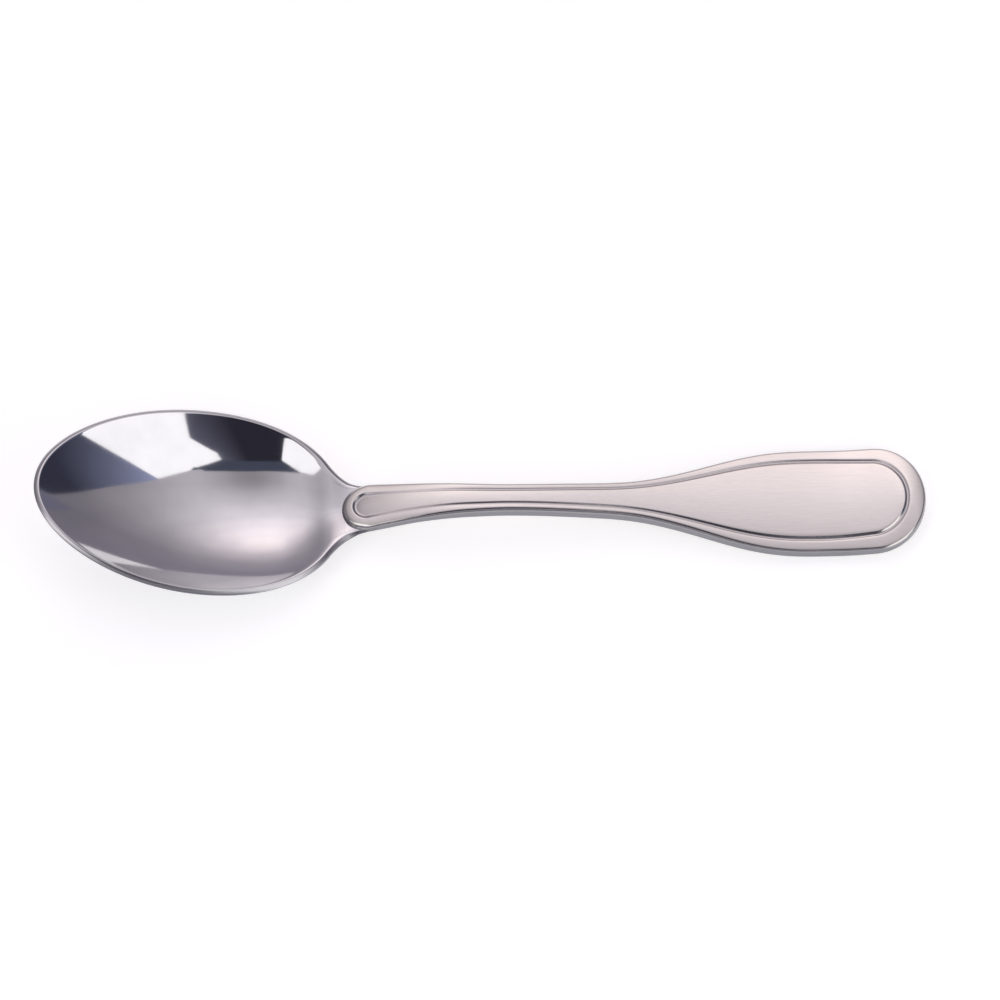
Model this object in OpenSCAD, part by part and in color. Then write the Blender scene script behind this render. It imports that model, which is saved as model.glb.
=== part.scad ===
// Teaspoon lying on a table with its hollow side up.
// Its long axis is X, with the tip of the bowl at -X and the end of the handle at +X.
// The bowl touches the table with its belly, and the handle with its foot, near its broad end.
// Lengths are in millimetres and angles in degrees.

/* [Whole spoon] */
// Length from the tip of the bowl to the end of the handle
spoon_len = 140; // [132:1:155]

/* [Bowl outline] */
// Width of the bowl over its rim
bowl_w = 32.3; // [29:0.1:36]
// Length from the tip of the bowl to its widest place
bowl_front = 26.1; // [23:0.1:29]
// Length from the widest place to where the egg outline would close
bowl_back = 22.3; // [20:0.1:25]
// Share by which the egg outline draws in more than an ellipse towards the tip
egg_point = 0.11; // [0:0.01:0.3]

/* [Bowl section] */
// Depth of the hollow under the rim
bowl_depth = 5.9; // [5:0.1:8]
// Thickness of the bowl's floor
floor_t = 1.4; // [1:0.05:2]
// Width of the rim's edge, seen from above
rim_w = 0.8; // [0.6:0.05:1.2]
// Drop of the rim's edge from its inner to its outer corner
rim_drop = 0.7; // [0.4:0.05:1]
// Angle of the rim to the table, with the tip as the higher end
rim_tilt = 13.7; // [10:0.1:16]
// Sag of the rim between its tip and its heel
rim_sag = 1.1; // [0:0.1:1.5]
// Length of the egg outline over which the rim turns up towards the handle
heel_len = 4.1; // [3:0.1:7]
// Length of the egg outline over which the belly runs out into the handle's back
drop_len = 10; // [7:0.1:13]
// Length by which the hollow runs on past the egg outline, up to the handle
hollow_run = 2.2; // [1.5:0.1:3]
// Length of the egg outline over which the hollow's floor ramps up towards the tongue
ramp_len = 7; // [5:0.5:9]
// Share of the hollow's depth that the ramp takes up
ramp_share = 0.3; // [0:0.05:0.6]
// Length of the egg outline over which the hollow's round section turns to a blunt V at the heel
fold_len = 10; // [7:0.5:11]
// Roundness of the V's bottom, as a share of its half width
fold_round = 0.25; // [0.1:0.05:0.5]

/* [Neck] */
// Length by which the handle's tongue reaches into the egg outline
tongue_reach = 0.55; // [0.3:0.05:0.8]
// Width of the tongue, the handle's round end on the bowl
tongue_w = 7.7; // [7:0.1:8]
// Length of the tongue's round
tongue_len = 4; // [3.4:0.1:4.4]
// Drop of the tongue's edge under the line of the rim
tongue_drop = 0.15; // [0:0.05:0.4]
// Slope of the handle's top at the tongue
tongue_slope = 8; // [5:0.1:12]
// Length of the egg outline that the fillet to the handle takes up
fillet_len = 2.6; // [2.6:0.1:3.2]
// Length over which the bowl's shoulders run out along the handle
shoulder_len = 1.4; // [1:0.1:1.6]
// Step from the handle's top down to the shoulders where they run out
shoulder_step = 0.6; // [0.5:0.05:0.8]

/* [Handle outline] */
// Width of the stem at its waist
waist_w = 4.85; // [4.2:0.05:5.5]
// Length of the taper from the tongue to the waist
taper_len = 22; // [18:0.5:28]
// Power of the taper's curve, where 1 is straight
taper_bend = 1.5; // [1.3:0.1:2]
// Width that the stem gains between its waist and the flare
root_gain = 1.3; // [0:0.05:2]
// Length over which the stem gains that width
root_len = 28; // [20:0.5:34]
// Width of the handle's broad end
broad_w = 17.8; // [15:0.1:21]
// Distance from the handle's end back to the start of the flare
flare_from = 52.5; // [45:0.5:56]
// Distance from the handle's end back to its full width
flare_to = 17; // [14:0.5:22]
// Length of the round at the handle's end
end_round = 8.1; // [6:0.05:10]

/* [Handle profile] */
// Distance from the tongue to the top of the stem's arch
arch_from = 19.3; // [15:0.1:23]
// Height of the arch above the tongue
arch_rise = 2.9; // [2:0.05:4]
// Distance from the handle's end back to the foot
foot_from = 14; // [10:0.5:18]
// Height of the handle's underside at its end
end_rise = 1.5; // [0:0.1:2]
// Slope of the handle's top at its end
end_slope = 3; // [0:0.5:6]
// Thickness of the handle's edge at the tongue
heel_t = 1.3; // [1.2:0.1:2]
// Height of the bulge on the back of the neck
heel_bulge = 0.8; // [0:0.1:1]
// Thickness of the handle at the waist
waist_t = 2.3; // [2:0.1:3]
// Thickness of the handle at the foot
foot_t = 2.2; // [1.9:0.1:2.8]
// Thickness of the handle at its end
end_t = 1.8; // [1.6:0.1:2.4]
// Radius of the handle's edges
edge_r = 0.6; // [0.3:0.05:0.8]

/* [Border] */
// Width of the raised border round the tongue
tongue_border = 1.9; // [1.6:0.05:2.1]
// Width of the border along the stem
stem_border = 1.25; // [1.1:0.05:1.4]
// Width of the border along the broad end's sides
side_border = 2.1; // [1.6:0.05:2.8]
// Width of the border round the handle's end
end_border = 2.9; // [2:0.05:3.4]
// Width of the groove inside the border
groove_w = 0.6; // [0.4:0.05:0.8]
// Depth of the groove
groove_d = 0.25; // [0.1:0.05:0.4]
// Height of the crown across the tongue
tongue_crown = 0.6; // [0.3:0.05:0.8]
// Height of the crown across the stem
stem_crown = 0.25; // [0:0.05:0.4]
// Height of the crown across the broad end
broad_crown = 0.8; // [0:0.05:1]
// Depth of the panel under the border at the tongue
panel_dip = 0.5; // [0.2:0.05:0.6]
// Length over which the panel comes up to the border
dip_len = 9; // [6:0.5:12]

/* [Hidden] */

// Steps along the outlines
front_n = 22;
back_n = 11;
tongue_n = 9;
shoulder_n = 3;
stem_n = 56;
end_n = 10;
// Steps across the surfaces
bowl_rows = 11;
panel_rows = 3;
edge_n = 2;
// Small length for slopes and for points on the axis
tiny = 0.001;

// Half widths
bowl_r = bowl_w / 2;
tongue_r = tongue_w / 2;
waist_r = waist_w / 2;
root_r = root_gain / 2;
broad_r = broad_w / 2;

// Distances from the tip
close_s = bowl_front + bowl_back;
heel_s = close_s - heel_len;
fillet_s = close_s - fillet_len;
drop_s = close_s - drop_len;
ramp_s = close_s - ramp_len;
fold_s = close_s - fold_len;
tongue_s = close_s - tongue_reach;
tongue_end_s = tongue_s + tongue_len;
join_s = tongue_end_s + shoulder_len;
waist_s = tongue_end_s + taper_len;
arch_s = tongue_s + arch_from;
flare_s = spoon_len - flare_from;
full_s = spoon_len - flare_to;
foot_s = spoon_len - foot_from;
round_s = spoon_len - end_round;
// Where the bowl's surface lines start to run to the tongue in place of the axis
neck_s = (drop_s + tongue_s) / 2;
// Where the surface line from the tip ends on the axis
core_s = bowl_front / 3;
// Depth of the belly under the rim's outer corner
belly_depth = bowl_depth + floor_t - rim_drop;
// Inset of the first line under the bowl's edge
side_w = rim_w / 2;
// Greatest share of the distance to the core that an inset takes up
inset_share = 0.4;

function mix(a, b, u) = a + (b - a) * u;
function clamp(u) = min(1, max(0, u));
function smooth(u) = let (v = clamp(u)) v * v * (3 - 2 * v);
function ease(u) = let (v = clamp(u)) v * v * v * (v * (6 * v - 15) + 10);
function slope(f, s) = (f(s + tiny) - f(s - tiny)) / (2 * tiny);

// Cubic from height a at distance s0, with slope ma, to height b at distance s1, with slope mb
function cubic(s, s0, a, ma, s1, b, mb) =
    let (
        span = s1 - s0,
        u = (s - s0) / span,
        w = u * u * (3 - 2 * u)
    )
    mix(a, b, w) + span * u * (1 - u) * ((1 - u) * ma - u * mb);

// Share of the egg's width squared that is left at a distance s from the tip.
// The egg bends alike on both sides of its widest place.
function egg_left(s, front, back) =
    let (
        u = s < bowl_front ? (bowl_front - s) / front : (s - bowl_front) / back,
        v = pow(min(1, u), 2),
        point = s < bowl_front ? egg_point : (1 + egg_point) * pow(back / front, 2) - 1
    )
    max(0, 1 - v * (1 + point - point * v));
function egg_half(s) = bowl_r * sqrt(egg_left(s, bowl_front, bowl_back));

// Half width of the handle
function handle_body(s) =
    waist_r
        + (tongue_r - waist_r) * pow(1 - clamp((s - tongue_end_s) / taper_len), taper_bend)
        + root_r * smooth((s - waist_s) / root_len)
        + (broad_r - waist_r - root_r) * ease((s - flare_s) / (full_s - flare_s));
function round_off(u) = sqrt(1 - pow(clamp(u), 2));
function handle_half(s) =
    handle_body(s)
        * round_off((tongue_end_s - s) / tongue_len)
        * round_off((s - round_s) / end_round);

// Half width of the bowl, with the fillet that runs it out along the handle
fillet_slope = slope(function (s) egg_half(s), fillet_s);
join_slope = slope(function (s) handle_half(s), join_s);
function bowl_half(s) =
    s < fillet_s
        ? egg_half(s)
        : cubic(s, fillet_s, egg_half(fillet_s), fillet_slope, join_s, handle_half(join_s), join_slope);

// Outline of the tongue, shared by the handle and the bowl's notch
tongue_edge = concat(
    [for (k = [0 : tongue_n])
        let (a = 90 * k / tongue_n)
        [tongue_s + tongue_len * (1 - cos(a)), tongue_r * sin(a)]],
    [for (k = [1 : shoulder_n])
        let (s = mix(tongue_end_s, join_s, k / shoulder_n))
        [s, handle_half(s)]]
);
notch_n = tongue_n + shoulder_n;

// Outline of the bowl's rim from the tip to the end of the shoulder
bowl_edge = concat(
    [for (k = [0 : front_n])
        let (s = bowl_front * (1 - cos(90 * k / front_n)))
        [s, bowl_half(s)]],
    [for (k = [1 : back_n])
        let (s = mix(bowl_front, neck_s, k / back_n))
        [s, bowl_half(s)]],
    [for (k = [1 : notch_n])
        let (s = mix(neck_s, join_s, k / notch_n))
        [s, bowl_half(s)]]
);
axis_n = front_n + back_n;
bowl_n = axis_n + notch_n;

// Inner end of each of the bowl's surface lines: on the axis, then round the tongue
bowl_core = concat(
    [for (i = [0 : axis_n]) [mix(core_s, tongue_s, bowl_edge[i].x / neck_s), 0]],
    [for (k = [1 : notch_n]) tongue_edge[k]]
);

// Outline of the handle from the tongue to the end
handle_edge = concat(
    tongue_edge,
    [for (k = [1 : stem_n])
        let (s = mix(join_s, round_s, k / stem_n))
        [s, handle_half(s)]],
    [for (k = [1 : end_n])
        let (a = 90 * k / end_n)
        [round_s + end_round * sin(a), handle_body(round_s) * cos(a)]]
);
handle_n = len(handle_edge) - 1;

// Height of the rim at the bowl's widest place, which puts the belly's lowest point on the table
function rim_shape(s) =
    tan(rim_tilt) * (bowl_front - s) - rim_sag * egg_left(s, bowl_front, bowl_back);
function belly_axis(s) =
    rim_shape(s) - rim_drop - belly_depth * egg_left(s, bowl_front, bowl_back + hollow_run);
rim_z = -min([for (i = [0 : axis_n]) if (bowl_core[i].x < drop_s) belly_axis(bowl_core[i].x)]);

// Heights along the handle's top
tongue_z = rim_z + tan(rim_tilt) * (bowl_front - tongue_s) - tongue_drop;
arch_z = tongue_z + arch_rise;
foot_z = foot_t;
end_z = end_t + end_rise;
function handle_top(s) =
    s < tongue_s ? tongue_z + tan(tongue_slope) * (s - tongue_s)
    : s < arch_s ? cubic(s, tongue_s, tongue_z, tan(tongue_slope), arch_s, arch_z, 0)
    : s < foot_s ? cubic(s, arch_s, arch_z, 0, foot_s, foot_z, 0)
    : cubic(s, foot_s, foot_z, 0, spoon_len, end_z, tan(end_slope));
function handle_t(s) =
    s < waist_s ? mix(heel_t, waist_t, smooth((s - tongue_s) / (waist_s - tongue_s)))
    : s < foot_s ? mix(waist_t, foot_t, smooth((s - waist_s) / (foot_s - waist_s)))
    : mix(foot_t, end_t, smooth((s - foot_s) / (spoon_len - foot_s)));
function handle_back(s) = handle_top(s) - handle_t(s);

// Height of the rim, which follows its line and turns up to the shoulders at the heel
shoulder_z = handle_top(join_s) - shoulder_step;
shoulder_slope = slope(function (s) handle_top(s), join_s);
function rim(s) =
    mix(
        rim_z + rim_shape(s),
        shoulder_z + shoulder_slope * (s - join_s),
        ease((s - heel_s) / (join_s - heel_s))
    );

// Rise of a section from its middle, as a share of its depth: a parabola, then a blunt V
function blunt(u) =
    (norm([fold_round, u]) - fold_round) / (norm([fold_round, 1]) - fold_round);
function section(s, u) = mix(u * u, blunt(u), smooth((s - fold_s) / fold_len));
// Share of the depth at a point of an egg whose edge is inset from the rim
function dish(s, y, inset) =
    let (
        ramp = ramp_share * ease((s - ramp_s) / (ramp_len + hollow_run)),
        left = egg_left(s, bowl_front - inset, bowl_back + hollow_run) * (1 - ramp)
    )
    max(0, s < bowl_front
        ? left - pow(y / (bowl_r - inset), 2)
        : left * (1 - section(s, y / (bowl_half(s) - inset))));
function hollow(p) = rim(p.x) - bowl_depth * dish(p.x, p.y, rim_w);
function belly(p) = rim(p.x) - rim_drop - belly_depth * dish(p.x, p.y, 0);
function underside(p) =
    p.x < join_s
        ? mix(belly(p), handle_back(p.x), ease((p.x - drop_s) / (join_s - drop_s)))
        : handle_back(p.x);

// Direction from an outline's point i towards the inside
function inward(path, i) =
    i == 0 ? [1, 0]
    : i == len(path) - 1 ? [-1, 0]
    : let (d = path[i + 1] - path[i - 1]) [d.y, -d.x] / norm(d);
function at(p, z) = [p.x - spoon_len / 2, p.y, z];
// Two triangles of a quad, parted from b to d or, if flipped, from a to c
function quad(a, b, c, d, flip = false) =
    [for (t = flip ? [[a, b, c], [a, c, d]] : [[a, b, d], [b, c, d]])
        if (t[0] != t[1] && t[1] != t[2] && t[2] != t[0]) t];

// Closed solid from the points and faces of its +Y half
module mirrored_solid(points, faces) {
    count = len(points);
    polyhedron(
        points = concat(points, [for (p = points) [p.x, -p.y, p.z]]),
        faces = concat(
            faces,
            [for (f = faces) [for (k = [2 : -1 : 0]) f[k] + (abs(points[f[k]].y) < tiny ? 0 : count)]]
        ),
        convexity = 6
    );
}

// Bowl: lines from the rim's outer corner over its edge, the hollow and the belly
bowl_top_n = 1 + bowl_rows;
function bowl_inset(i, w) = min(w, inset_share * norm(bowl_core[i] - bowl_edge[i]));
function bowl_inner(i, w) = bowl_edge[i] + bowl_inset(i, w) * inward(bowl_edge, i);
function bowl_line(i, j, w) = mix(bowl_inner(i, w), bowl_core[i], (j - 1) / bowl_rows);
function bowl_corner(i) =
    at(bowl_edge[i], rim(bowl_edge[i].x) - rim_drop * bowl_inset(i, rim_w) / rim_w);
function bowl_top_point(i, j) =
    j == 0 ? bowl_corner(i) : let (p = bowl_line(i, j, rim_w)) at(p, hollow(p));
function bowl_under_point(i, j) = let (p = bowl_line(i, j, side_w)) at(p, underside(p));
function bowl_top(i, j) = i * (bowl_top_n + 1) + (i == bowl_n ? 0 : j);
function bowl_under(i, j) =
    j == 0
        ? bowl_top(i, 0)
        : (bowl_n + 1) * (bowl_top_n + 1) + i * bowl_top_n + (i == bowl_n ? 0 : j - 1);
bowl_points = concat(
    [for (i = [0 : bowl_n], j = [0 : bowl_top_n]) bowl_top_point(i, j)],
    [for (i = [0 : bowl_n], j = [1 : bowl_top_n]) bowl_under_point(i, j)]
);
bowl_faces = concat(
    [for (i = [0 : bowl_n - 1], j = [0 : bowl_top_n - 1])
        each quad(bowl_top(i, j), bowl_top(i + 1, j), bowl_top(i + 1, j + 1), bowl_top(i, j + 1))],
    [for (i = [0 : bowl_n - 1], j = [0 : bowl_top_n - 1])
        each quad(bowl_under(i, j), bowl_under(i, j + 1), bowl_under(i + 1, j + 1), bowl_under(i + 1, j))],
    [for (i = [axis_n : bowl_n - 1])
        each quad(
            bowl_top(i, bowl_top_n), bowl_top(i + 1, bowl_top_n),
            bowl_under(i + 1, bowl_top_n), bowl_under(i, bowl_top_n)
        )]
);

// Share of the neck's form that is left on the way from the tongue to the waist
function neck_left(s) = 1 - smooth((s - tongue_s) / (waist_s - tongue_s));
// Handle: lines from its edge over the border, the groove and the panel, and over its back
function border(s) =
    s < waist_s ? mix(stem_border, tongue_border, neck_left(s))
    : s < full_s ? mix(stem_border, side_border, ease((s - flare_s) / (full_s - flare_s)))
    : mix(side_border, end_border, smooth((s - full_s) / (spoon_len - full_s)));
// Inset and height of the lines along the edge, the groove's two sides and its floor
function relief(s) = concat(
    [for (k = [0 : edge_n]) let (a = 90 * k / edge_n) edge_r * [1 - cos(a), sin(a) - 1]],
    [[border(s) - groove_w / 2, 0], [border(s), -groove_d], [border(s) + groove_w / 2, 0]]
);
relief_n = edge_n + 3;
handle_top_n = relief_n + panel_rows;
handle_back_n = edge_n + panel_rows;
// Lines run straight across to the axis, and fan out from it within core_run of the handle's ends
tongue_inset = tongue_border + 2 * groove_w;
end_inset = end_border + 2 * groove_w;
core_run = 16;
function fan(u) = pow(1 - clamp(u), 3);
function handle_core(i) =
    let (s = handle_edge[i].x)
    [s + tongue_inset * fan((s - tongue_s) / core_run) - end_inset * fan((spoon_len - s) / core_run), 0];
// Height of the arch across the handle's top
function crown(s) =
    mix(stem_crown, tongue_crown, neck_left(s))
        + (broad_crown - stem_crown) * ease((s - flare_s) / (full_s - flare_s));
function arched(share) = 1 - pow(1 - share, 2);
// Depth of the panel under the border behind the tongue
function dip(s) = panel_dip * pow(1 - clamp((s - tongue_s - tongue_border) / dip_len), 2);
function handle_inner(i, inset) = handle_edge[i] + inset * inward(handle_edge, i);
function handle_top_point(i, j) =
    let (
        edge = handle_edge[i],
        line = relief(edge.x)[min(j, relief_n)],
        u = max(0, j - relief_n) / panel_rows,
        p = mix(handle_inner(i, line.x), handle_core(i), u),
        share = mix(line.x / norm(handle_core(i) - edge), 1, u),
        sunk = j < relief_n ? 0 : dip(p.x)
    )
    at(p, handle_top(p.x) + line.y - sunk + crown(edge.x) * arched(share));
// The back's edges are round from the end of the shoulders on
function handle_back_point(i, j) =
    let (
        a = 90 * min(j, edge_n) / edge_n,
        u = max(0, j - edge_n) / panel_rows,
        edge = handle_edge[i],
        inset = edge_r * (1 - cos(a)),
        p = mix(handle_inner(i, inset), handle_core(i), u),
        share = mix(inset / norm(handle_core(i) - edge), 1, u),
        r = edge_r * smooth((edge.x - join_s) / tongue_w)
    )
    at(p, underside(p) + r * (1 - sin(a)) - heel_bulge * neck_left(edge.x) * arched(share));
function handle_up(i, j) = i * (handle_top_n + 1) + j;
function handle_down(i, j) =
    (handle_n + 1) * (handle_top_n + 1) + i * (handle_back_n + 1) + j;
handle_points = concat(
    [for (i = [0 : handle_n], j = [0 : handle_top_n]) handle_top_point(i, j)],
    [for (i = [0 : handle_n], j = [0 : handle_back_n]) handle_back_point(i, j)]
);
handle_faces = concat(
    [for (i = [0 : handle_n - 1], j = [0 : handle_top_n - 1])
        each quad(
            handle_up(i, j), handle_up(i + 1, j), handle_up(i + 1, j + 1), handle_up(i, j + 1),
            i > notch_n
        )],
    [for (i = [0 : handle_n - 1], j = [0 : handle_back_n - 1])
        each quad(
            handle_down(i, j), handle_down(i, j + 1), handle_down(i + 1, j + 1), handle_down(i + 1, j),
            i > notch_n
        )],
    [for (i = [0 : handle_n - 1])
        each quad(handle_up(i + 1, 0), handle_up(i, 0), handle_down(i, 0), handle_down(i + 1, 0))]
);

// Polished bowl, with a notch in its heel that takes the handle's tongue
module bowl() {
    color("silver") mirrored_solid(bowl_points, bowl_faces);
}

// Satin handle with a raised border, whose tongue stands proud of the bowl's heel
module handle() {
    color("gainsboro") mirrored_solid(handle_points, handle_faces);
}

bowl();
handle();
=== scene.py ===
"""Teaspoon of polished and satin stainless steel, lying with its hollow side up on a pale table.

The bowl and the handle are surfaces over one plan, in millimetres: s is the distance from the
tip of the bowl along the spoon, y the distance from its long axis, and z the height above the table.
"""

import logging
import math
from collections.abc import Callable, Sequence
from dataclasses import dataclass
from enum import Enum
from functools import cached_property
from itertools import pairwise

import bpy
import numpy as np
from mathutils import Matrix, Vector


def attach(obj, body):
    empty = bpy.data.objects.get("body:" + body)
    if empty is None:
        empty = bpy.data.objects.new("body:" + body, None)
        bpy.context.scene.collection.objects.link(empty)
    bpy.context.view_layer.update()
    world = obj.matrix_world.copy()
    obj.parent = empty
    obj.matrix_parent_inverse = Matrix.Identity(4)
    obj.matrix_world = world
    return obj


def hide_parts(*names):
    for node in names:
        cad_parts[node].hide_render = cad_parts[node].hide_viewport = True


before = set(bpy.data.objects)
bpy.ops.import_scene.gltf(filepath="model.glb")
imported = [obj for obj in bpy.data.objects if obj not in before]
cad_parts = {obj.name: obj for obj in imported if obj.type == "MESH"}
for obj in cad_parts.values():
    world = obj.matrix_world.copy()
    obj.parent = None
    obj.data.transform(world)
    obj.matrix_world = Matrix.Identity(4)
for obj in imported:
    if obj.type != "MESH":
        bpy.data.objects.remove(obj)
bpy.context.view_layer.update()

LOG = logging.getLogger("teaspoon")
Array = np.ndarray
Tree = bpy.types.NodeTree
Socket = bpy.types.NodeSocket
Pair = tuple[float, float]
Point = tuple[float, float, float]
Colour = tuple[float, float, float, float]
Tint = Socket | Colour
Outline = tuple[Pair, ...]
MM = 0.001
UV_NAME = "along"


# ---------------------------------------------------------------- curves


def mix(a: Array | float, b: Array | float, share: Array | float) -> Array:
    """Straight blend from a to b."""
    return a + (b - a) * share


def smooth(u: Array | float) -> Array:
    """Cubic ramp from 0 to 1, level at both ends."""
    v = np.clip(u, 0.0, 1.0)
    return v * v * (3.0 - 2.0 * v)


def rise(s: Array, start: float, stop: float) -> Array:
    """Cubic ramp from 0 at start to 1 at stop."""
    return smooth((s - start) / (stop - start))


def ease(u: Array | float) -> Array:
    """Quintic ramp from 0 to 1, level and unbent at both ends."""
    v = np.clip(u, 0.0, 1.0)
    return v**3 * (v * (6.0 * v - 15.0) + 10.0)


@dataclass(frozen=True)
class Knot:
    """A place on a curve: where it is, the value and the slope there."""

    s: float
    value: float
    slope: float = 0.0


def knot_on(curve: Callable[[Array], Array], s: float, step: float = 1e-3) -> Knot:
    """Knot on a curve, with its slope from the values on both sides."""
    before, here, after = curve(np.array([s - step, s, s + step]))
    return Knot(s, float(here), float(after - before) / (2.0 * step))


def hermite(s: Array, start: Knot, end: Knot) -> Array:
    """Cubic from one knot to the next.

    Args:
        s: distances along the spoon.
        start: knot that the cubic leaves.
        end: knot that the cubic reaches.

    Returns:
        The value at each distance: a cubic ramp between the two values, plus each knot's slope
        times a bump that dies out at both ends.
    """
    length = end.s - start.s
    u = (s - start.s) / length
    ramp = mix(start.value, end.value, u * u * (3.0 - 2.0 * u))
    return ramp + length * u * (1.0 - u) * ((1.0 - u) * start.slope - u * end.slope)


def bezier(a: Array, corner: Array, b: Array, shares: Array) -> Array:
    """Rounds a corner along every line of a surface.

    Args:
        a: points where the rounding starts, one per line.
        corner: the sharp corners.
        b: points where the rounding ends.
        shares: places along the rounding, from 0 to 1.

    Returns:
        Points (lines, shares, 3) of the quadratic curve (1-u)^2 a + 2u(1-u) corner + u^2 b.
    """
    u = shares[None, :, None]
    return (1 - u) ** 2 * a[:, None] + 2 * u * (1 - u) * corner[:, None] + u**2 * b[:, None]


def inward(path: Array) -> Array:
    """Directions from an outline on the +Y side towards the inside of the plan.

    Args:
        path: points of the outline, in order along the spoon.

    Returns:
        Unit vectors: the direction of the outline, turned by a quarter, and straight along the axis at
        both ends.
    """
    along = np.gradient(path, axis=0)
    turned = np.stack([along[:, 1], -along[:, 0]], axis=1)
    turned[0] = (1.0, 0.0)
    turned[-1] = (-1.0, 0.0)
    return turned / np.linalg.norm(turned, axis=1, keepdims=True)


@dataclass(frozen=True)
class SpoonForm:
    """Sizes that the bowl and the handle share, in millimetres and degrees, and their curves."""

    length: float = 140.0
    # Egg outline: its length in front of the widest place and behind it, and the share by which it
    # draws in more than an ellipse towards the tip
    bowl_width: float = 32.3
    bowl_front: float = 26.1
    bowl_back: float = 22.3
    egg_point: float = 0.11
    # Hollow and rim, whose edge drops from its inner to its outer corner
    bowl_depth: float = 5.9
    floor_thickness: float = 1.4
    rim_width: float = 0.8
    rim_drop: float = 0.7
    rim_tilt: float = 13.7
    rim_sag: float = 1.1
    # Heel: lengths over which the rim turns up and the belly runs out, the length by which the hollow
    # runs on past the egg, and the least half width of a section
    heel_length: float = 4.1
    drop_length: float = 10.0
    hollow_run: float = 2.2
    least_half: float = 0.05
    # Ramp of the hollow's floor, with its share of the depth, and the V, with the round of its bottom
    ramp_length: float = 7.0
    ramp_share: float = 0.3
    fold_length: float = 10.0
    fold_round: float = 0.25
    # Tongue: its reach into the egg, its round, its drop under the rim's line and its slope
    tongue_reach: float = 0.55
    tongue_width: float = 7.7
    tongue_length: float = 4.0
    tongue_drop: float = 0.15
    tongue_slope: float = 8.0
    # Shoulders: the fillet from the egg to the handle, their run along it and their step under it
    fillet_length: float = 2.6
    shoulder_length: float = 1.4
    shoulder_step: float = 0.6
    # Outline of the handle: the taper from the tongue to the waist, with the power of its curve, the
    # slow gain behind the waist, and the flare, by its distances from the end
    waist_width: float = 4.85
    taper_length: float = 22.0
    taper_bend: float = 1.5
    root_gain: float = 1.3
    root_length: float = 28.0
    broad_width: float = 17.8
    flare_from: float = 52.5
    flare_to: float = 17.0
    end_round: float = 8.1
    # Heights: the arch, from the tongue; the foot, by its distance from the end; the end's underside
    arch_from: float = 19.3
    arch_rise: float = 2.9
    foot_from: float = 14.0
    end_rise: float = 1.5
    end_slope: float = 3.0
    # Thickness along the handle
    heel_thickness: float = 1.3
    waist_thickness: float = 2.3
    foot_thickness: float = 2.2
    end_thickness: float = 1.8

    @property
    def bowl_radius(self) -> float:
        """Half width of the bowl."""
        return self.bowl_width / 2

    @property
    def close(self) -> float:
        """Where the egg outline would close."""
        return self.bowl_front + self.bowl_back

    @property
    def drop(self) -> float:
        """Where the belly starts to run out into the handle's back."""
        return self.close - self.drop_length

    @property
    def tongue(self) -> float:
        """Where the handle's tongue starts."""
        return self.close - self.tongue_reach

    @property
    def tongue_end(self) -> float:
        """Where the round of the tongue ends."""
        return self.tongue + self.tongue_length

    @property
    def join(self) -> float:
        """Where the bowl's shoulders run out along the handle."""
        return self.tongue_end + self.shoulder_length

    @property
    def waist(self) -> float:
        """Where the stem is narrowest."""
        return self.tongue_end + self.taper_length

    @property
    def foot(self) -> float:
        """Where the handle touches the table."""
        return self.length - self.foot_from

    @property
    def round_start(self) -> float:
        """Where the round at the handle's end starts."""
        return self.length - self.end_round

    def flare(self, s: Array) -> Array:
        """Share of the flare from the stem to the broad end."""
        return ease((s - self.length + self.flare_from) / (self.flare_from - self.flare_to))

    def neck_left(self, s: Array) -> Array:
        """Share of the neck's form that is left on the way from the tongue to the waist."""
        return 1 - rise(s, self.tongue, self.waist)

    def egg_left(self, s: Array, front: float, back: float) -> Array:
        """Share of the egg's width squared that is left at a distance from the tip.

        Args:
            s: distances from the tip.
            front: length of the egg from its tip end to its widest place.
            back: length from the widest place to the other end.

        Returns:
            1 - v (1 + k - k v), where v is the square of the distance from the widest place as a
            share of the egg's length on that side. The k behind follows from the k in front, so
            that the egg bends alike on both sides.
        """
        ahead = s < self.bowl_front
        share = np.where(ahead, (self.bowl_front - s) / front, (s - self.bowl_front) / back)
        v = np.clip(share, 0.0, 1.0) ** 2
        k = np.where(ahead, self.egg_point, (1 + self.egg_point) * (back / front) ** 2 - 1)
        return np.maximum(0.0, 1 - v * (1 + k - k * v))

    def egg_half(self, s: Array) -> Array:
        """Half width of the bowl's egg outline."""
        return self.bowl_radius * np.sqrt(self.egg_left(s, self.bowl_front, self.bowl_back))

    def stem_half(self, s: Array) -> Array:
        """Half width of the handle without its round ends.

        Args:
            s: distances from the tip.

        Returns:
            The waist, plus the taper from the tongue, the slow gain behind the waist and the flare to
            the broad end.
        """
        waist, gain = self.waist_width / 2, self.root_gain / 2
        taper = (1 - np.clip((s - self.tongue_end) / self.taper_length, 0, 1)) ** self.taper_bend
        stem = waist + (self.tongue_width / 2 - waist) * taper
        stem = stem + gain * smooth((s - self.waist) / self.root_length)
        return stem + (self.broad_width / 2 - waist - gain) * self.flare(s)

    @cached_property
    def bowl_fillet(self) -> tuple[Knot, Knot]:
        """Both ends of the fillet from the egg outline to the handle's side."""
        start = self.close - self.fillet_length
        return knot_on(self.egg_half, start), knot_on(self.stem_half, self.join)

    def bowl_half(self, s: Array) -> Array:
        """Half width of the bowl: the egg, then a fillet that runs out along the handle."""
        start, end = self.bowl_fillet
        return np.where(s < start.s, self.egg_half(s), hermite(s, start, end))

    def rim_line(self, s: Array) -> Array:
        """Height of the tilted, sagging rim, from its height at the bowl's widest place."""
        tilt = math.tan(math.radians(self.rim_tilt)) * (self.bowl_front - s)
        return tilt - self.rim_sag * self.egg_left(s, self.bowl_front, self.bowl_back)

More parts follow.
